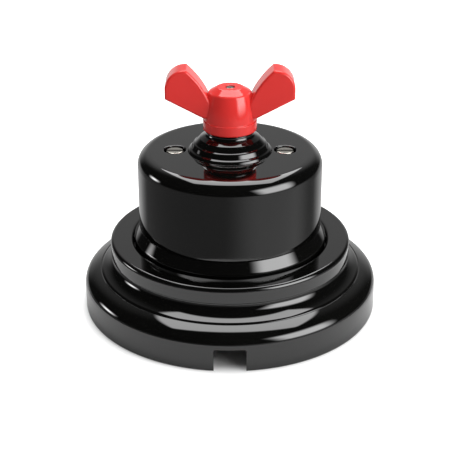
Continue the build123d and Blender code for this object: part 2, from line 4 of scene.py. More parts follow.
import bmesh
import bpy
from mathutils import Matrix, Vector

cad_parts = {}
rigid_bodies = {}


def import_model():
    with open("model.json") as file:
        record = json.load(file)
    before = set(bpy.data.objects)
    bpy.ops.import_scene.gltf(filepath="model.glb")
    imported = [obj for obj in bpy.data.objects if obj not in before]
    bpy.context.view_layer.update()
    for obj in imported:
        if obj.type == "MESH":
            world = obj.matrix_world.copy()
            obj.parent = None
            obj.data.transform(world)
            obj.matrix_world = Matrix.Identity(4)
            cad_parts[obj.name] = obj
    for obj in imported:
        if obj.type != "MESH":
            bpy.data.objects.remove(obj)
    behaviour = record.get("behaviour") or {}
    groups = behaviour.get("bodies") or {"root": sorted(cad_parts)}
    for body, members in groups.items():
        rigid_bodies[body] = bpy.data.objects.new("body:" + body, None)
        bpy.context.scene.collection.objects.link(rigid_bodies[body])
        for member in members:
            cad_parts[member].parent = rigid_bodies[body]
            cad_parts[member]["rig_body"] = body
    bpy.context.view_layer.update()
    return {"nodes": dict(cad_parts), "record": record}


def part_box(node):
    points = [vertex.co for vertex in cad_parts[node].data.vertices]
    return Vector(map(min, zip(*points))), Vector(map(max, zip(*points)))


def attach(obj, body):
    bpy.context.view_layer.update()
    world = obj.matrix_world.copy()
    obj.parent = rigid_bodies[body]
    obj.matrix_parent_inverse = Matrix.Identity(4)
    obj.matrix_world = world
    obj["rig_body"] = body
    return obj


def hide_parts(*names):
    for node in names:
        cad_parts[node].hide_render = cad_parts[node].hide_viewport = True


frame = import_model()
scene = bpy.context.scene
mm = 0.001                       # the sizes below are millimetres
lathe = {"segments": 224, "toolSegments": 72, "rail": 1.0, "arcStep": radians(5), "fewestSteps": 3,
         "support": 0.08, "closest": 1e-4}
smoothAngle = radians(32)        # edges that turn more than this stay crisp
weld = 1e-7                      # points closer than this, in metres, become one
overshoot = 1                    # cutters reach this far past what they cut


def linear(hexCode):
    channels = [int(hexCode[i:i + 2], 16) / 255 for i in (1, 3, 5)]
    return [c / 12.92 if c < 0.04045 else ((c + 0.055) / 1.055) ** 2.4 for c in channels] + [1.0]


def addNode(tree, kind, inputs=None, **settings):
    node = tree.nodes.new(kind)
    for name, value in settings.items():
        setattr(node, name, value)
    for key, value in (inputs or {}).items():
        if isinstance(value, bpy.types.NodeSocket):
            tree.links.new(value, node.inputs[key])
        else:
            node.inputs[key].default_value = value
    return node


def newMaterial(name, **sockets):
    material = bpy.data.materials.new(name)
    material.use_nodes = True
    tree = material.node_tree
    tree.nodes.clear()
    shader = addNode(tree, "ShaderNodeBsdfPrincipled", sockets)
    addNode(tree, "ShaderNodeOutputMaterial", {"Surface": shader.outputs[0]})
    place = addNode(tree, "ShaderNodeTexCoord").outputs["Object"]
    return material, tree, shader, place


# Porcelain dipped in black glaze and fired: near black inside, with a wet, faintly rippled gloss on top
def makeBlackGlaze():
    look = {"deep": "#030303", "thin": "#080807", "pool": 14.0, "ripple": 7.0, "rippleDepth": 0.012,
            "gloss": (0.02, 0.06), "smear": 22.0}
    material, tree, shader, place = newMaterial("porcelainGlazedBlack", IOR=1.7)
    pool = addNode(tree, "ShaderNodeTexNoise",
                   {"Vector": place, "Scale": 1 / (look["pool"] * mm), "Detail": 2.0})
    tint = addNode(tree, "ShaderNodeMix",
                   {0: pool.outputs["Fac"], 6: linear(look["deep"]), 7: linear(look["thin"])},
                   data_type="RGBA")
    smear = addNode(tree, "ShaderNodeTexNoise",
                    {"Vector": place, "Scale": 1 / (look["smear"] * mm), "Detail": 3.0})
    gloss = addNode(tree, "ShaderNodeMapRange",
                    {"Value": smear.outputs["Fac"], "From Min": 0.35, "From Max": 0.7,
                     "To Min": look["gloss"][0], "To Max": look["gloss"][1]})
    ripple = addNode(tree, "ShaderNodeTexNoise",
                     {"Vector": place, "Scale": 1 / (look["ripple"] * mm), "Detail": 1.0})
    bump = addNode(tree, "ShaderNodeBump",
                   {"Height": ripple.outputs["Fac"], "Strength": 1.0, "Distance": look["rippleDepth"] * mm})
    tree.links.new(tint.outputs[2], shader.inputs["Base Color"])
    tree.links.new(gloss.outputs[0], shader.inputs["Roughness"])
    tree.links.new(bump.outputs[0], shader.inputs["Normal"])
    return material


# Red ABS from a polished mould: even colour, soft wide sheen, a trace of flow in the gloss
def makeRedPlastic():
    look = {"body": "#CB2F2C", "flow": "#D23532", "flowSize": 9.0, "gloss": (0.04, 0.08), "grain": 0.5,
            "grainDepth": 0.0012}
    material, tree, shader, place = newMaterial("absMouldedRed", IOR=1.53)
    flow = addNode(tree, "ShaderNodeTexNoise",
                   {"Vector": place, "Scale": 1 / (look["flowSize"] * mm), "Detail": 2.0})
    tint = addNode(tree, "ShaderNodeMix",
                   {0: flow.outputs["Fac"], 6: linear(look["body"]), 7: linear(look["flow"])},
                   data_type="RGBA")
    gloss = addNode(tree, "ShaderNodeMapRange",
                    {"Value": flow.outputs["Fac"], "From Min": 0.35, "From Max": 0.65,
                     "To Min": look["gloss"][0], "To Max": look["gloss"][1]})
    grain = addNode(tree, "ShaderNodeTexNoise",
                    {"Vector": place, "Scale": 1 / (look["grain"] * mm), "Detail": 2.0})
    bump = addNode(tree, "ShaderNodeBump",
                   {"Height": grain.outputs["Fac"], "Strength": 1.0, "Distance": look["grainDepth"] * mm})
    tree.links.new(tint.outputs[2], shader.inputs["Base Color"])
    tree.links.new(gloss.outputs[0], shader.inputs["Roughness"])
    tree.links.new(bump.outputs[0], shader.inputs["Normal"])
    return material


# A bare or plated metal: clouds of tint, tool marks in the bump, and a gloss that varies with the tint
def makeMetal(name, body, worn, gloss, mark, markDepth, stretch, cloudSize=4.0):
    material, tree, shader, place = newMaterial(name, Metallic=1.0)
    cloud = addNode(tree, "ShaderNodeTexNoise",
                    {"Vector": place, "Scale": 1 / (cloudSize * mm), "Detail": 3.0})
    tint = addNode(tree, "ShaderNodeMix", {0: cloud.outputs["Fac"], 6: linear(body), 7: linear(worn)},
                   data_type="RGBA")
    level = addNode(tree, "ShaderNodeMapRange",
                    {"Value": cloud.outputs["Fac"], "From Min": 0.3, "From Max": 0.7, "To Min": gloss[0],
                     "To Max": gloss[1]})
    along = addNode(tree, "ShaderNodeMapping", {"Vector": place, "Scale": stretch})
    marks = addNode(tree, "ShaderNodeTexNoise",
                    {"Vector": along.outputs[0], "Scale": 1 / (mark * mm), "Detail": 2.0})
    bump = addNode(tree, "ShaderNodeBump",
                   {"Height": marks.outputs["Fac"], "Strength": 1.0, "Distance": markDepth * mm})
    tree.links.new(tint.outputs[2], shader.inputs["Base Color"])
    tree.links.new(level.outputs[0], shader.inputs["Roughness"])
    tree.links.new(bump.outputs[0], shader.inputs["Normal"])
    return material


# Brown phenolic, pressed hot with wood flour: mottled, dull, slightly waxy
def makePhenolic():
    look = {"body": "#3A2117", "fleck": "#573524", "fleckSize": 0.8, "pressed": 0.006}
    material, tree, shader, place = newMaterial("phenolicPressedBrown", Roughness=0.42, IOR=1.6)
    fleck = addNode(tree, "ShaderNodeTexNoise",
                    {"Vector": place, "Scale": 1 / (look["fleckSize"] * mm), "Detail": 4.0})
    tint = addNode(tree, "ShaderNodeMix",
                   {0: fleck.outputs["Fac"], 6: linear(look["body"]), 7: linear(look["fleck"])},
                   data_type="RGBA")
    bump = addNode(tree, "ShaderNodeBump",
                   {"Height": fleck.outputs["Fac"], "Strength": 1.0, "Distance": look["pressed"] * mm})
    tree.links.new(tint.outputs[2], shader.inputs["Base Color"])
    tree.links.new(bump.outputs[0], shader.inputs["Normal"])
    return material


finishes = {
    "black_porcelain": makeBlackGlaze(),
    "red_plastic": makeRedPlastic(),
    "nickel_screw": makeMetal("steelNickelPlated", "#C9C5BD", "#A8A49B", (0.06, 0.16), 0.25, 0.002,
                              (1, 6, 1)),
    "steel": makeMetal("steelRolledMild", "#A9ABAD", "#8E9194", (0.28, 0.42), 0.3, 0.004, (8, 1, 1)),
    "spring_steel": makeMetal("steelSpringBlued", "#4C525E", "#3A3E48", (0.22, 0.34), 0.3, 0.003, (8, 1, 1)),
    "brass": makeMetal("brassTurned", "#CBA550", "#B08A3C", (0.2, 0.34), 0.25, 0.003, (1, 1, 6)),
    "phosphor_bronze": makeMetal("bronzeStampedPhosphor", "#B67C4E", "#9A633B", (0.24, 0.36), 0.3, 0.003,
                                 (6, 1, 1)),
    "brown_phenolic": makePhenolic(),
}
print("finishes:", len(finishes))


# Outlines are lists of corners (across, height, rounding), taken clockwise, with the solid on the right
def roundedOutline(corners, closed):
    count = len(corners)
    points = [Vector(corner[:2]) for corner in corners]
    sides = []
    for i, (across, height, rounding) in enumerate(corners):
        back = (points[i - 1] - points[i]).normalized()
        onward = (points[(i + 1) % count] - points[i]).normalized()
        loose = rounding == 0 or (not closed and i in (0, count - 1))
        half = back.angle(onward) / 2
        sides.append((back, onward, half, 0 if loose else rounding / tan(half)))
    outline = []
    for i, (back, onward, half, setback) in enumerate(sides):
        corner, rounding = points[i], corners[i][2]
        if setback == 0:
            outline.append(corner)
            continue
        runBack = (points[i - 1] - corner).length - setback - sides[i - 1][3]
        runOn = (points[(i + 1) % count] - corner).length - setback - sides[(i + 1) % count][3]
        centre = corner + (back + onward).normalized() * rounding / sin(half)
        first, last = corner + back * setback - centre, corner + onward * setback - centre
        start = atan2(first.y, first.x)
        sweep = (atan2(last.y, last.x) - start + pi) % (2 * pi) - pi
        steps = max(lathe["fewestSteps"], round(abs(sweep) / lathe["arcStep"]))
        if runBack > 3 * lathe["support"]:
            outline.append(centre + first + back * lathe["support"])
        for step in range(steps + 1):
            angle = start + sweep * step / steps
            outline.append(centre + Vector((cos(angle), sin(angle))) * rounding)
        if runOn > 3 * lathe["support"]:
            outline.append(centre + last + onward * lathe["support"])
    return [p for p, q in zip(outline, outline[1:] + [None])
            if q is None or (p - q).length > lathe["closest"]]


def newTree(name, **sockets):
    tree = bpy.data.node_groups.new(name, "GeometryNodeTree")
    tree.interface.new_socket("Geometry", in_out="INPUT", socket_type="NodeSocketGeometry")
    for label, kind in sockets.items():
        tree.interface.new_socket(label, in_out="INPUT", socket_type="NodeSocket" + kind)
    tree.interface.new_socket("Geometry", in_out="OUTPUT", socket_type="NodeSocketGeometry")
    return tree, addNode(tree, "NodeGroupInput").outputs


def useTree(piece, tree, **values):
    modifier = piece.modifiers.new(tree.name, "NODES")
    modifier.node_group = tree
    sockets = {item.name: item.identifier for item in tree.interface.items_tree if item.in_out == "INPUT"}
    for label, value in values.items():
        modifier[sockets[label]] = value
    return modifier


# Lathe: the outline is swept round a small rail circle, so its points are counted from the rail
def makeLatheTree():
    tree, given = newTree("turnOnLathe", Segments="Int", Rail="Float", Finish="Material")
    outline = addNode(tree, "GeometryNodeMeshToCurve", {"Mesh": given["Geometry"]})
    rail = addNode(tree, "GeometryNodeCurvePrimitiveCircle",
                   {"Resolution": given["Segments"], "Radius": given["Rail"]})
    turned = addNode(tree, "GeometryNodeCurveToMesh",
                     {"Curve": rail.outputs[0], "Profile Curve": outline.outputs[0]})
    closed = addNode(tree, "GeometryNodeMergeByDistance", {"Geometry": turned.outputs[0], "Distance": weld})
    real = addNode(tree, "GeometryNodeRealizeInstances", {"Geometry": closed.outputs[0]})
    finish = addNode(tree, "GeometryNodeSetMaterial",
                     {"Geometry": real.outputs[0], "Material": given["Finish"]})
    addNode(tree, "NodeGroupOutput", {"Geometry": finish.outputs[0]})
    return tree


# Ring of cutters or bosses: copies of one tool, evenly round the axis, cut out of the piece or joined to it
def makeRingTree(name, operation):
    tree, given = newTree(name, Tool="Object", Count="Int", Circle="Float", Turn="Float", Finish="Material")
    number = addNode(tree, "GeometryNodeInputIndex").outputs[0]
    share = addNode(tree, "ShaderNodeMath", {0: number, 1: given["Count"]}, operation="DIVIDE")
    angle = addNode(tree, "ShaderNodeMath", {0: share.outputs[0], 1: 2 * pi, 2: given["Turn"]},
                    operation="MULTIPLY_ADD")
    across = addNode(tree, "ShaderNodeMath", {0: angle.outputs[0]}, operation="COSINE")
    upward = addNode(tree, "ShaderNodeMath", {0: angle.outputs[0]}, operation="SINE")
    spoke = addNode(tree, "ShaderNodeCombineXYZ", {"X": across.outputs[0], "Y": upward.outputs[0]})
    place = addNode(tree, "ShaderNodeVectorMath", {0: spoke.outputs[0], "Scale": given["Circle"]},
                    operation="SCALE")
    spots = addNode(tree, "GeometryNodePoints", {"Count": given["Count"], "Position": place.outputs[0]})
    tool = addNode(tree, "GeometryNodeObjectInfo", {"Object": given["Tool"]})
    copies = addNode(tree, "GeometryNodeInstanceOnPoints",
                     {"Points": spots.outputs[0], "Instance": tool.outputs["Geometry"]})
    real = addNode(tree, "GeometryNodeRealizeInstances", {"Geometry": copies.outputs[0]})
    if operation == "DIFFERENCE":
        work = addNode(tree, "GeometryNodeMeshBoolean",
                       {"Mesh 1": given["Geometry"], "Mesh 2": real.outputs[0]}, operation=operation,
                       solver="EXACT")
    else:
        work = addNode(tree, "GeometryNodeMeshBoolean", {"Mesh 2": given["Geometry"]}, operation=operation,
                       solver="EXACT")
        tree.links.new(real.outputs[0], work.inputs["Mesh 2"])
    finish = addNode(tree, "GeometryNodeSetMaterial",
                     {"Geometry": work.outputs[0], "Material": given["Finish"]})
    addNode(tree, "NodeGroupOutput", {"Geometry": finish.outputs[0]})
    return tree


# Rows of like fasteners: one screw set on each point of the piece, turned as asked
def makeFastenerTree():
    tree, given = newTree("setFasteners", Screw="Object", Tilt="Float", Finish="Material")
    screw = addNode(tree, "GeometryNodeObjectInfo", {"Object": given["Screw"]})
    turn = addNode(tree, "ShaderNodeCombineXYZ", {"X": given["Tilt"]})
    copies = addNode(tree, "GeometryNodeInstanceOnPoints",
                     {"Points": given["Geometry"], "Instance": screw.outputs["Geometry"],
                      "Rotation": turn.outputs[0]})
    real = addNode(tree, "GeometryNodeRealizeInstances", {"Geometry": copies.outputs[0]})
    finish = addNode(tree, "GeometryNodeSetMaterial",
                     {"Geometry": real.outputs[0], "Material": given["Finish"]})
    addNode(tree, "NodeGroupOutput", {"Geometry": finish.outputs[0]})
    return tree


latheTree = makeLatheTree()
drillTree = makeRingTree("drillRing", "DIFFERENCE")
bossTree = makeRingTree("addBosses", "UNION")
fastenerTree = makeFastenerTree()
tools = []                       # cutters and single screws, removed once used


def newObject(name, points, edges=(), faces=()):
    mesh = bpy.data.meshes.new(name)
    mesh.from_pydata(points, edges, faces)
    piece = bpy.data.objects.new(name, mesh)
    scene.collection.objects.link(piece)
    return piece


def turnedPiece(name, corners, closed, finish, segments=lathe["segments"]):
    outline = roundedOutline(corners, closed)
    points = [((p.x - lathe["rail"]) * mm, -p.y * mm, 0) for p in outline]
    edges = [(i, i + 1) for i in range(len(points) - 1)]
    if closed:
        edges.append((len(points) - 1, 0))
    piece = newObject(name, points, edges)
    useTree(piece, latheTree, Segments=segments, Rail=lathe["rail"] * mm, Finish=finish)
    return piece


def bake(piece, angle=smoothAngle):
    graph = bpy.context.evaluated_depsgraph_get()
    mesh = bpy.data.meshes.new_from_object(piece.evaluated_get(graph))
    piece.modifiers.clear()
    old = piece.data
    piece.data = mesh
    bpy.data.meshes.remove(old)
    work = bmesh.new()
    work.from_mesh(mesh)
    bmesh.ops.remove_doubles(work, verts=work.verts, dist=weld)
    bmesh.ops.recalc_face_normals(work, faces=work.faces)
    work.to_mesh(mesh)
    work.free()
    mesh.shade_smooth()
    mesh.set_sharp_from_angle(angle=angle)
    return piece


def evenNormals(piece):
    modifier = piece.modifiers.new("flatsStayFlat", "WEIGHTED_NORMAL")   # one normal up to a flat's edge
    modifier.keep_sharp = True
    modifier.weight = 80
    graph = bpy.context.evaluated_depsgraph_get()
    mesh = bpy.data.meshes.new_from_object(piece.evaluated_get(graph))
    piece.modifiers.clear()
    piece.data = mesh


def tool(piece):
    bake(piece)
    piece.hide_render = True
    tools.append(piece)
    return piece


def holeTool(name, radius, bottom, top, rim=0.0):
    high = top + 2 * overshoot
    corners = [(0, high, 0), (radius + rim, high, 0), (radius + rim, top, 0), (radius, top, rim),
               (radius, bottom, 0), (0, bottom, 0)]
    if rim == 0:
        corners = [(0, top, 0), (radius, top, 0), (radius, bottom, 0), (0, bottom, 0)]
    return tool(turnedPiece(name, corners, False, finishes["black_porcelain"], lathe["toolSegments"]))


def standFor(piece, node):
    evenNormals(piece)
    piece.name = node + "_look"
    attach(piece, frame["nodes"][node]["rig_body"])
    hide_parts(node)
    print("piece:", piece.name, len(piece.data.polygons), "faces")


glaze = finishes["black_porcelain"]

# Mounting base, from the wall up: upright wall, ogee, overhanging ring, recess, hollow back
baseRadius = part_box("mounting_base")[1].x / mm
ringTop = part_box("mounting_base")[1].z / mm
mountingBase = {"footEdge": 0.9, "wallTop": 8.8, "ogeeTop": 18.85, "ogeeInner": 40.35,
                "ogeeLeads": (5.5, 6.1), "ogeeSteps": 36, "quirkAt": 0.47, "quirkWidth": 0.75,
                "quirkDepth": 0.24, "quirkClear": 0.1, "ringRadius": 41.5, "ringBottom": 19.4,
                "ringEdge": 1.35, "ringRoot": 0.12, "recessRadius": 33.65, "recessEdge": 1.2,
                "recessDepth": 4.0, "deckBottom": 15.5, "cavity": 43.5, "cavityWall": 8.0,
                "cavityRound": 2.0, "ceiling": 36.0, "glazeEdge": 0.35, "notchWidth": 10.5,
                "notchHeight": 8.1, "notchCorner": 0.8, "notchPast": 4.0, "wallHole": 2.25,
                "wallCircle": 22.0, "wallTurn": radians(21), "boss": 4.6, "screwHole": 1.7, "wireHole": 5.0,
                "wireCircle": 20.0, "wireTurn": radians(315)}


# The ogee leaves the ring and meets the wall upright, an S between them with a fine incised line at its bend
def ogeeOutline(size):
    top, foot = Vector((size["ogeeInner"], size["ogeeTop"])), Vector((baseRadius, size["wallTop"]))
    lead, trail = top - Vector((0, size["ogeeLeads"][0])), foot + Vector((0, size["ogeeLeads"][1]))
    shares = [i / size["ogeeSteps"] for i in range(size["ogeeSteps"] + 1)] + [size["quirkAt"]]
    *points, bend = [top * (1 - t) ** 3 + lead * 3 * t * (1 - t) ** 2 + trail * 3 * t ** 2 * (1 - t)
                     + foot * t ** 3 for t in shares]
    slope = (trail + foot - top - lead).normalized()
    lip, bottom = slope * size["quirkWidth"] / 2, Vector((slope.y, -slope.x)) * size["quirkDepth"]
    clear = lip.length + size["quirkClear"]
    before = [p for p in points if (p - bend) @ slope < -clear]
    after = [p for p in points if (p - bend) @ slope > clear]
    return [(p.x, p.y, 0) for p in before + [bend - lip, bend + bottom, bend + lip] + after]


def makeMountingBase(size):
    edge = size["glazeEdge"]
    recessFloor = ringTop - size["recessDepth"]
    corners = [(0, recessFloor, 0), (size["recessRadius"], recessFloor, edge),
               (size["recessRadius"], ringTop, size["recessEdge"]),
               (size["ringRadius"], ringTop, size["ringEdge"]),
               (size["ringRadius"], size["ringBottom"], edge),
               (size["ogeeInner"], size["ringBottom"], size["ringRoot"]), *ogeeOutline(size),
               (baseRadius, 0, size["footEdge"]), (size["cavity"], 0, edge),
               (size["cavity"], size["cavityWall"], size["cavityRound"]),
               (size["ceiling"], size["deckBottom"], size["cavityRound"]), (0, size["deckBottom"], 0)]
    piece = turnedPiece("mountingBase", corners, False, glaze)
    bossTop = size["deckBottom"] + overshoot
    bossCorners = [(0, bossTop, 0), (size["boss"], bossTop, 0), (size["boss"], 0, edge), (0, 0, 0)]
    boss = tool(turnedPiece("bossTool", bossCorners, False, glaze, lathe["toolSegments"]))
    useTree(piece, bossTree, Tool=boss, Count=2, Circle=size["wallCircle"] * mm, Turn=size["wallTurn"],
            Finish=glaze)
    wallHole = holeTool("wallHoleTool", size["wallHole"], -overshoot, recessFloor + overshoot)
    useTree(piece, drillTree, Tool=wallHole, Count=2, Circle=size["wallCircle"] * mm, Turn=size["wallTurn"],
            Finish=glaze)
    screwHole = holeTool("baseScrewTool", size["screwHole"], -overshoot, recessFloor + overshoot)
    useTree(piece, drillTree, Tool=screwHole, Count=2, Circle=postOffset * mm, Turn=0.0, Finish=glaze)
    wireHole = holeTool("wireHoleTool", size["wireHole"], -overshoot, recessFloor + overshoot)
    useTree(piece, drillTree, Tool=wireHole, Count=1, Circle=size["wireCircle"] * mm, Turn=size["wireTurn"],
            Finish=glaze)
    half, top, corner = size["notchWidth"] / 2, size["notchHeight"], size["notchCorner"]
    low = -2 * overshoot
    arch = [(-half, low, 0), (-half, top, corner), (half, top, corner), (half, low, 0)]
    outline = roundedOutline(arch, True)
    notch = tool(prism("notchTool", outline, size["ceiling"], baseRadius + size["notchPast"]))
    useTree(piece, drillTree, Tool=notch, Count=1, Circle=0.0, Turn=0.0, Finish=glaze)
    bake(piece)
    standFor(piece, "mounting_base")


# A straight bar along -Y with this outline in X and Z
def prism(name, outline, near, far):
    count = len(outline)
    points = [(p.x * mm, -y * mm, p.y * mm) for y in (near, far) for p in outline]
    sides = [(i, (i + 1) % count, count + (i + 1) % count, count + i) for i in range(count)]
    return newObject(name, points,
                     faces=sides + [tuple(range(count)), tuple(range(2 * count - 1, count - 1, -1))])


postOffset = (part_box("cover_posts")[1].x - (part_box("cover_posts")[1].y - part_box("cover_posts")[0].y) / 2) / mm
makeMountingBase(mountingBase)

# Switch base: flared foot in the recess, and the platform that the cover fits round
switchBase = {"foot": 33.15, "footWall": 4.9, "footRound": 0.8, "flareTop": 31.0, "seat": 29.3,
              "flareRound": 0.35, "platform": 26.95, "edge": 0.3, "screwHole": 1.7, "wallHole": 2.25,
              "wallHead": 4.0, "wallHeadDepth": 1.5, "wireHole": 5.0, "terminalCircle": 20.0,
              "headPocket": 2.9, "pocketDepth": 2.1, "yokeCircle": 21.3, "nutPocket": 3.4, "nutDepth": 2.6,
              "pivot": 3.25, "pivotBottom": 26.1}


def makeSwitchBase(size):
    low, high = (z / mm for z in (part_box("switch_base")[0].z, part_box("switch_base")[1].z))
    corners = [(0, high, 0), (size["platform"], high, size["edge"]),
               (size["platform"], size["seat"], size["edge"]),
               (size["flareTop"], size["seat"], size["flareRound"]),
               (size["foot"], low + size["footWall"], size["footRound"]), (size["foot"], low, size["edge"]),
               (0, low, 0)]
    piece = turnedPiece("switchBase", corners, False, glaze)
    under, over, quarter = low - overshoot, high + overshoot, radians(90)
    wallCircle, wallTurn, wireTurn = (mountingBase[key] for key in ("wallCircle", "wallTurn", "wireTurn"))
    rings = [("postHoles", size["screwHole"], under, over, 2, postOffset, 0.0),
             ("wallHoles", size["wallHole"], under, over, 2, wallCircle, wallTurn),
             ("wallHeads", size["wallHead"], high - size["wallHeadDepth"], over, 2, wallCircle, wallTurn),
             ("terminalHoles", size["screwHole"], under, over, 4, size["terminalCircle"], radians(45)),
             ("wireHole", size["wireHole"], under, over, 1, size["terminalCircle"], wireTurn),
             ("yokeHoles", size["screwHole"], under, over, 2, size["yokeCircle"], quarter),
             ("nutPockets", size["nutPocket"], under, low + size["nutDepth"], 2, size["yokeCircle"], quarter),
             ("pivotHole", size["pivot"], size["pivotBottom"], over, 1, 0.0, 0.0)]
    for label, radius, bottom, top, count, circle, turn in rings:
        cutter = holeTool(label, radius, bottom, top)
        useTree(piece, drillTree, Tool=cutter, Count=count, Circle=circle * mm, Turn=turn, Finish=glaze)
    for turn in (radians(45), radians(135), radians(225)):      # screw heads under the three terminals
        cutter = holeTool("headPocket", size["headPocket"], under, low + size["pocketDepth"])
        useTree(piece, drillTree, Tool=cutter, Count=1, Circle=size["terminalCircle"] * mm, Turn=turn,
                Finish=glaze)
    bake(piece)
    standFor(piece, "switch_base")


makeSwitchBase(switchBase)

# Cover: cap and stepped neck in one, drilled for the spindle and for two screws
cover = {"radius": 31.35, "capTop": 56.35, "capEdge": 4.6, "capFoot": 0.45, "inner": 27.25, "ceiling": 51.0,
         "innerRound": 3.0, "bore": 3.5, "neck": 8.0, "neckUpright": 1.15, "treadSlope": radians(31),
         "steps": ((2.2, 1.55, 1.58), (0.55, 0.75, 1.5), (0.75, 0.5, 0.82)), "roots": (1.4, 0.6, 0.5),
         "footRound": 0.12, "edgeRound": 1.0, "pocket": 3.7, "pocketDepth": 2.6, "pocketRim": 0.45,
         "screwHole": 1.7, "edge": 0.3}


def makeCover(size):
    low, high = (z / mm for z in (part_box("cover")[0].z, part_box("cover")[1].z))
    corners = [(size["neck"], high, size["edge"])]
    across, level = size["neck"], high - size["neckUpright"]   # a step is its tread, riser across, riser down
    for (tread, riser, drop), root in zip(size["steps"], size["roots"]):
        corners.append((across, level, root))
        across, level = across + tread, level - tread * tan(size["treadSlope"])
        corners.append((across, level, size["edgeRound"]))
        across, level = across + riser, level - drop
    corners += [(across, size["capTop"], size["footRound"]),
                (size["radius"], size["capTop"], size["capEdge"]), (size["radius"], low, size["capFoot"]),
                (size["inner"], low, size["edge"]), (size["inner"], size["ceiling"], size["innerRound"]),
                (size["bore"], size["ceiling"], size["edge"]), (size["bore"], high, size["edge"])]
    piece = turnedPiece("cover", corners, True, glaze)
    pocketFloor = size["capTop"] - size["pocketDepth"]
    pocket = holeTool("pocketTool", size["pocket"], pocketFloor, size["capTop"], size["pocketRim"])
    useTree(piece, drillTree, Tool=pocket, Count=2, Circle=postOffset * mm, Turn=0.0, Finish=glaze)
    screwHole = holeTool("coverScrewTool", size["screwHole"], size["ceiling"] - overshoot,
                         pocketFloor + overshoot)
    useTree(piece, drillTree, Tool=screwHole, Count=2, Circle=postOffset * mm, Turn=0.0, Finish=glaze)
    bake(piece)
    standFor(piece, "cover")


makeCover(cover)

# Knob: tapered hub with a collar, and two upswept wings of even thickness
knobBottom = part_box("knob")[0].z / mm
knob = {"segments": 160, "collar": 9.05, "collarHeight": 3.5, "collarRound": 0.6, "step": 0.3,
        "stepRound": 0.25, "topRadius": 7.1, "hubHeight": 11.3, "hubSwell": 0.28, "hubSteps": 8,
        "topRound": 1.2, "crown": 4.3, "crownHeight": 1.6, "crownRound": 0.8, "wingThickness": 8.8,
        "wingEdge": 0.8, "edgeSteps": 6, "tipSteps": 30, "innerSteps": 20, "wingReach": 21.5, "wingLow": 11.6,
        "wingSide": 3.25, "wingRound": 6.6, "peakTurn": radians(5), "rootReach": 6.4, "rootHeight": 10.2,
        "bulge": 0.8, "lowerReach": 8.7, "lowerHeight": 4.85, "pocket": 1.6, "pocketDepth": 1.7,
        "pocketRim": 0.25, "socket": 4.3, "socketDepth": 10.2, "screwHole": 1.2}


def wingOutline(size):
    centre = Vector((size["wingReach"] - size["wingRound"], knobBottom + size["wingLow"] + size["wingSide"]))
    root = Vector((size["rootReach"], knobBottom + size["rootHeight"]))
    tip = [centre + size["wingRound"] * Vector((cos(a), sin(a)))
           for a in ((pi / 2 + size["peakTurn"]) * i / size["tipSteps"] for i in range(size["tipSteps"] + 1))]
    chord = root - tip[-1]
    side = Vector((chord.y, -chord.x)).normalized()
    inner = [tip[-1] + chord * t + side * size["bulge"] * 4 * t * (1 - t)
             for t in (i / size["innerSteps"] for i in range(1, size["innerSteps"] + 1))]
    lower = Vector((size["lowerReach"], knobBottom + size["lowerHeight"]))
    low = Vector((size["wingReach"], knobBottom + size["wingLow"]))
    return [Vector((root.x, lower.y)), lower, low] + tip + inner


def makeWing(size, side):
    outline = [Vector((p.x * side, p.y)) for p in wingOutline(size)]
    half = size["wingThickness"] / 2
    piece = prism("wingTool", outline, -half, half)
    work = bmesh.new()
    work.from_mesh(piece.data)
    bmesh.ops.recalc_face_normals(work, faces=work.faces)
    rim = [e for e in work.edges if abs(e.verts[0].co.y - e.verts[1].co.y) < 10 * weld]
    bmesh.ops.bevel(work, geom=rim, offset=size["wingEdge"] * mm, segments=size["edgeSteps"], profile=0.5,
                    affect="EDGES")
    work.to_mesh(piece.data)
    work.free()
    return tool(piece)


def makeKnob(size):
    collarTop = knobBottom + size["collarHeight"]
    top = collarTop + size["hubHeight"]
    shoulder = Vector((size["topRadius"], top - size["crownHeight"]))
    hubFoot = Vector((size["collar"] - size["step"], collarTop))
    hubSide = [shoulder.lerp(hubFoot, t) + Vector((size["hubSwell"] * 4 * t * (1 - t), 0))
               for t in (i / size["hubSteps"] for i in range(1, size["hubSteps"]))]
    corners = [(0, top, 0), (size["crown"], top, size["crownRound"]), (*shoulder, size["topRound"]),
               *[(*p, 0) for p in hubSide], (*hubFoot, size["stepRound"]),
               (size["collar"], collarTop, size["stepRound"]),
               (size["collar"], knobBottom, size["collarRound"]), (0, knobBottom, 0)]
    red = finishes["red_plastic"]
    piece = turnedPiece("knob", corners, False, red, size["segments"])
    for side in (1, -1):
        useTree(piece, bossTree, Tool=makeWing(size, side), Count=1, Circle=0.0, Turn=0.0, Finish=red)
    pocketFloor = top - size["pocketDepth"]
    pocket = holeTool("knobPocketTool", size["pocket"], pocketFloor, top, size["pocketRim"])
    useTree(piece, drillTree, Tool=pocket, Count=1, Circle=0.0, Turn=0.0, Finish=red)
    screwHole = holeTool("knobScrewTool", size["screwHole"], knobBottom - overshoot, pocketFloor + overshoot)
    useTree(piece, drillTree, Tool=screwHole, Count=1, Circle=0.0, Turn=0.0, Finish=red)
    half, low, high = size["socket"] / 2, knobBottom - overshoot, knobBottom + size["socketDepth"]
    square = [Vector(p) for p in ((-half, low), (-half, high), (half, high), (half, low))]
    useTree(piece, drillTree, Tool=tool(prism("socketTool", square, -half, half)), Count=1, Circle=0.0,
            Turn=0.0, Finish=red)
    bake(piece)
    standFor(piece, "knob")


makeKnob(knob)

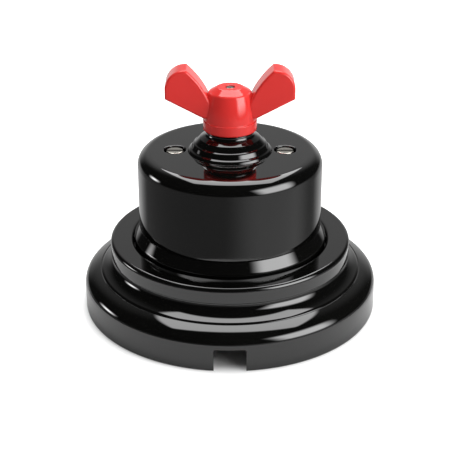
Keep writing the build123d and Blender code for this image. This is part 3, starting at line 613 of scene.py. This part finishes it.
# Slotted screws: low head with a rounded rim and a milled slot, plain shank
screwMake = {"segments": 64, "seatEdge": 0.1, "tipRound": 0.3}
coverScrew = {"head": 3.0, "height": 2.35, "rim": 0.5, "shank": 1.5, "length": 11.0, "slot": 0.9,
              "slotDepth": 1.1}
baseScrew = {"head": 2.7, "height": 1.9, "rim": 0.3, "shank": 1.5, "length": 24.5, "slot": 0.8,
             "slotDepth": 0.9}
knobScrew = {"head": 1.4, "height": 1.5, "rim": 0.25, "shank": 1.0, "length": 10.0, "slot": 0.6,
             "slotDepth": 0.7}


def makeScrews(node, size, places, seat, tilt):
    nickel = finishes["nickel_screw"]
    edge = screwMake["seatEdge"]
    corners = [(0, size["height"], 0), (size["head"], size["height"], size["rim"]), (size["head"], 0, edge),
               (size["shank"], 0, edge), (size["shank"], -size["length"], screwMake["tipRound"]),
               (0, -size["length"], 0)]
    screw = turnedPiece(node + "Single", corners, False, nickel, screwMake["segments"])
    half, reach = size["slot"] / 2, size["head"] + overshoot
    low, high = size["height"] - size["slotDepth"], size["height"] + overshoot
    outline = [Vector(p) for p in ((-reach, low), (-reach, high), (reach, high), (reach, low))]
    slot = tool(prism(node + "Slot", outline, -half, half))
    useTree(screw, drillTree, Tool=slot, Count=1, Circle=0.0, Turn=0.0, Finish=nickel)
    tool(screw)
    piece = newObject(node + "Set", [(x * mm, y * mm, seat * mm) for x, y in places])
    useTree(piece, fastenerTree, Screw=screw, Tilt=tilt, Finish=nickel)
    bake(piece)
    standFor(piece, node)


posts = [(postOffset, 0), (-postOffset, 0)]
makeScrews("cover_screws", coverScrew, posts, cover["capTop"] - cover["pocketDepth"], 0.0)
makeScrews("base_screws", baseScrew, posts, mountingBase["deckBottom"], pi)
makeScrews("knob_screw", knobScrew, [(0, 0)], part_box("knob_screw")[1].z / mm - knobScrew["height"], 0.0)

for piece in tools:
    bpy.data.objects.remove(piece)

# The works inside keep their solids and get their finishes
for entry in frame["record"]["subparts"]:
    solid = frame["nodes"][entry["node"]]
    solid.data.materials.clear()
    solid.data.materials.append(finishes[entry["material_slot"]])
print("works finished:", sum(not o.hide_render for o in frame["nodes"].values()), "solids shown")

# Studio: pale table, long panel overhead, panel on the right, small lamp on the left, dim walls round it
studio = {"tableGrey": 0.6, "tableWhite": 0.75, "paintedShadeEdge": 5.0, "tableHole": 0.5, "nearRadius": 78.0,
          "nearShift": 14.0, "farRadius": 3000.0, "ambient": 0.3, "wallRadius": 1700.0, "front": 0.02,
          "back": 0.41, "horizon": 0.85, "lowDim": 0.18, "lowRight": 0.6, "lowBack": 0.7,
          "fades": {"backward": (0.2, 0.75), "middle": (0.7, 0.25), "skyline": (0.33, 0.1),
                    "rightward": (-0.15, 0.6), "forward": (0.45, -0.1), "after": (0.5, 0.8),
                    "rise": (-0.12, 0.0)},             # where the walls change, in shares of their radius
          "panels": {
              "topPanel": {"centre": (45, 815, 1000), "size": (1000, 1680), "soft": 0.12, "glow": 4.3,
                           "flat": True},
              "sidePanel": {"centre": (620, -400, 300), "size": (860, 780), "soft": 0.6, "glow": 6.4,
                            "flat": False},
              "leftLamp": {"centre": (-677, 131, 112), "size": (300, 210), "soft": 1.0, "glow": 12.0,
                           "flat": False}},
          "fill": {"centre": (300, -100, 850), "size": 1100.0, "watts": 5.5}}


def glowMaterial(name):
    material = bpy.data.materials.new(name)
    material.use_nodes = True
    tree = material.node_tree
    tree.nodes.clear()
    place = addNode(tree, "ShaderNodeTexCoord").outputs["Object"]
    axes = addNode(tree, "ShaderNodeSeparateXYZ", {0: place}).outputs
    return material, tree, axes


def easeIn(tree, value, low, high, toLow=0.0, toHigh=1.0):
    return addNode(tree, "ShaderNodeMapRange",
                   {"Value": value, "From Min": low, "From Max": high, "To Min": toLow, "To Max": toHigh},
                   interpolation_type="SMOOTHSTEP").outputs[0]


def glowSurface(tree, level):
    glow = addNode(tree, "ShaderNodeEmission", {"Strength": level})
    addNode(tree, "ShaderNodeOutputMaterial", {"Surface": glow.outputs[0]})


# Panel of light that fades towards its edges, as cloth stretched over a frame does
def makePanel(name, size):
    half = [s * mm / 2 for s in size["size"]]
    corners = [(x * half[0], y * half[1], 0) for x, y in ((-1, -1), (1, -1), (1, 1), (-1, 1))]
    panel = newObject(name, corners, faces=[(0, 1, 2, 3)])
    panel.location = Vector(size["centre"]) * mm
    if not size["flat"]:
        panel.rotation_euler = (-panel.location).to_track_quat("Z", "Y").to_euler()
    material, tree, axes = glowMaterial(name + "Cloth")
    level = size["glow"]
    for axis, reach in zip("XY", half):
        away = addNode(tree, "ShaderNodeMath", {0: axes[axis]}, operation="ABSOLUTE").outputs[0]
        fade = easeIn(tree, away, reach, reach * (1 - size["soft"]))
        level = addNode(tree, "ShaderNodeMath", {0: level, 1: fade}, operation="MULTIPLY").outputs[0]
    glowSurface(tree, level)
    panel.data.materials.append(material)
    panel.visible_camera = panel.visible_shadow = False


# Table: seen from above only; a camera-only glow makes it white away from the part and fades out towards the foot,
# so it paints shade round the foot and under the part on top of the real shadow
def tableFinish(size):
    material, tree, shader, place = newMaterial("tablePaintedPale", Roughness=0.8)
    shader.inputs["Base Color"].default_value = (size["tableGrey"],) * 3 + (1,)
    shader.inputs["Specular IOR Level"].default_value = 0.0
    seen = addNode(tree, "ShaderNodeLightPath").outputs["Is Camera Ray"]
    away = addNode(tree, "ShaderNodeVectorMath", {0: place}, operation="LENGTH").outputs["Value"]
    # painted shade: the glow fades to nothing near the foot's radius, darkening the table round and under the part
    glowOutsideShade = easeIn(tree, away, (baseRadius - size["paintedShadeEdge"]) * mm,
                   (baseRadius + size["paintedShadeEdge"]) * mm, toHigh=size["tableWhite"])
    level = addNode(tree, "ShaderNodeMath", {0: seen, 1: glowOutsideShade}, operation="MULTIPLY")
    glowing = addNode(tree, "ShaderNodeEmission", {"Strength": level.outputs[0]})
    both = addNode(tree, "ShaderNodeAddShader", {0: shader.outputs[0], 1: glowing.outputs[0]})
    behind = addNode(tree, "ShaderNodeNewGeometry").outputs["Backfacing"]
    gone = addNode(tree, "ShaderNodeBsdfTransparent")
    shown = addNode(tree, "ShaderNodeMixShader", {0: behind, 1: both.outputs[0], 2: gone.outputs[0]})
    tree.links.new(shown.outputs[0], tree.nodes["Material Output"].inputs["Surface"])
    return material


# A flat ring of table between two circles given as (radius, shift towards the camera)
def makeTable(name, inner, outer, finish):
    count = 160
    spokes = [(sin(2 * pi * i / count), cos(2 * pi * i / count)) for i in range(count)]
    points = [(x * radius * mm, (y * radius - shift) * mm, 0) for radius, shift in (inner, outer)
              for x, y in spokes]
    faces = [(i, (i + 1) % count, count + (i + 1) % count, count + i) for i in range(count)]
    table = newObject(name, points, faces=faces)
    table.data.materials.append(finish)
    return table


# Walls show in reflections only: dim in front, pale behind, darker to the left
def makeWalls(size):
    far = size["wallRadius"] * mm
    work = bmesh.new()
    bmesh.ops.create_uvsphere(work, u_segments=64, v_segments=32, radius=far)
    walls = newObject("studioWalls", [])
    work.to_mesh(walls.data)
    work.free()
    material, tree, axes = glowMaterial("wallsPaintedDim")
    reach = {name: [share * far for share in shares] for name, shares in size["fades"].items()}
    sideways = addNode(tree, "ShaderNodeMath", {0: axes["X"]}, operation="ABSOLUTE").outputs[0]
    backward = easeIn(tree, axes["Y"], *reach["backward"])
    middle = easeIn(tree, sideways, *reach["middle"])
    behind = addNode(tree, "ShaderNodeMath", {0: backward, 1: middle}, operation="MULTIPLY").outputs[0]
    skyline = easeIn(tree, axes["Z"], *reach["skyline"], size["back"], size["horizon"])
    upper = addNode(tree, "ShaderNodeMapRange", {"Value": behind, "To Min": size["front"], "To Max": skyline})
    rightward = easeIn(tree, axes["X"], *reach["rightward"])
    forward = easeIn(tree, axes["Y"], *reach["forward"])
    before = addNode(tree, "ShaderNodeMath", {0: rightward, 1: forward}, operation="MULTIPLY").outputs[0]
    lowFront = addNode(tree, "ShaderNodeMapRange",
                       {"Value": before, "To Min": size["lowDim"], "To Max": size["lowRight"]})
    after = easeIn(tree, axes["Y"], *reach["after"])
    lower = addNode(tree, "ShaderNodeMix", {0: after, 2: lowFront.outputs[0], 3: size["lowBack"]})
    rise = addNode(tree, "ShaderNodeMapRange",
                   {"Value": axes["Z"], "From Min": reach["rise"][0], "From Max": reach["rise"][1]})
    level = addNode(tree, "ShaderNodeMix", {0: rise.outputs[0], 2: lower.outputs[0], 3: upper.outputs[0]})
    glowSurface(tree, level.outputs[0])
    walls.data.materials.append(material)
    walls.visible_camera = walls.visible_diffuse = walls.visible_shadow = walls.visible_transmission = False


pale = tableFinish(studio)
nearEdge = (studio["nearRadius"], studio["nearShift"])
makeTable("tableNear", (studio["tableHole"], 0.0), nearEdge, pale)
tableFar = makeTable("tableFar", nearEdge, (studio["farRadius"], 0.0), pale)
tableFar.visible_glossy = False
makeWalls(studio)
for name, size in studio["panels"].items():
    makePanel(name, size)
fillData = bpy.data.lights.new("fillLamp", "AREA")
fillData.energy, fillData.size = studio["fill"]["watts"], studio["fill"]["size"] * mm
fill = bpy.data.objects.new("fillLamp", fillData)
fill.location = Vector(studio["fill"]["centre"]) * mm
fill.rotation_euler = fill.location.to_track_quat("Z", "Y").to_euler()
fill.visible_glossy = False      # lifts the tops and the right without one more shape in the gloss
scene.collection.objects.link(fill)

world = bpy.data.worlds.new("studioAir")
world.use_nodes = True
world.node_tree.nodes["Background"].inputs["Strength"].default_value = studio["ambient"]
world.node_tree.nodes["Background"].inputs["Color"].default_value = (1, 1, 1, 1)
scene.world = world
scene.view_settings.view_transform = "Standard"

# Camera: level with no roll, looking down a little more than 25 degrees from the notch side
view = {"away": 420.0, "lift": radians(25.41), "aim": 26.25, "lens": 94.23, "sensor": 36.0}
cameraData = bpy.data.cameras.new("camera")
cameraData.lens, cameraData.sensor_width = view["lens"], view["sensor"]
camera = bpy.data.objects.new("camera", cameraData)
scene.collection.objects.link(camera)
back = Vector((0, -cos(view["lift"]), sin(view["lift"])))
camera.location = (Vector((0, 0, view["aim"])) + back * view["away"]) * mm
camera.rotation_euler = back.to_track_quat("Z", "Y").to_euler()
scene.camera = camera
print("studio and camera set")
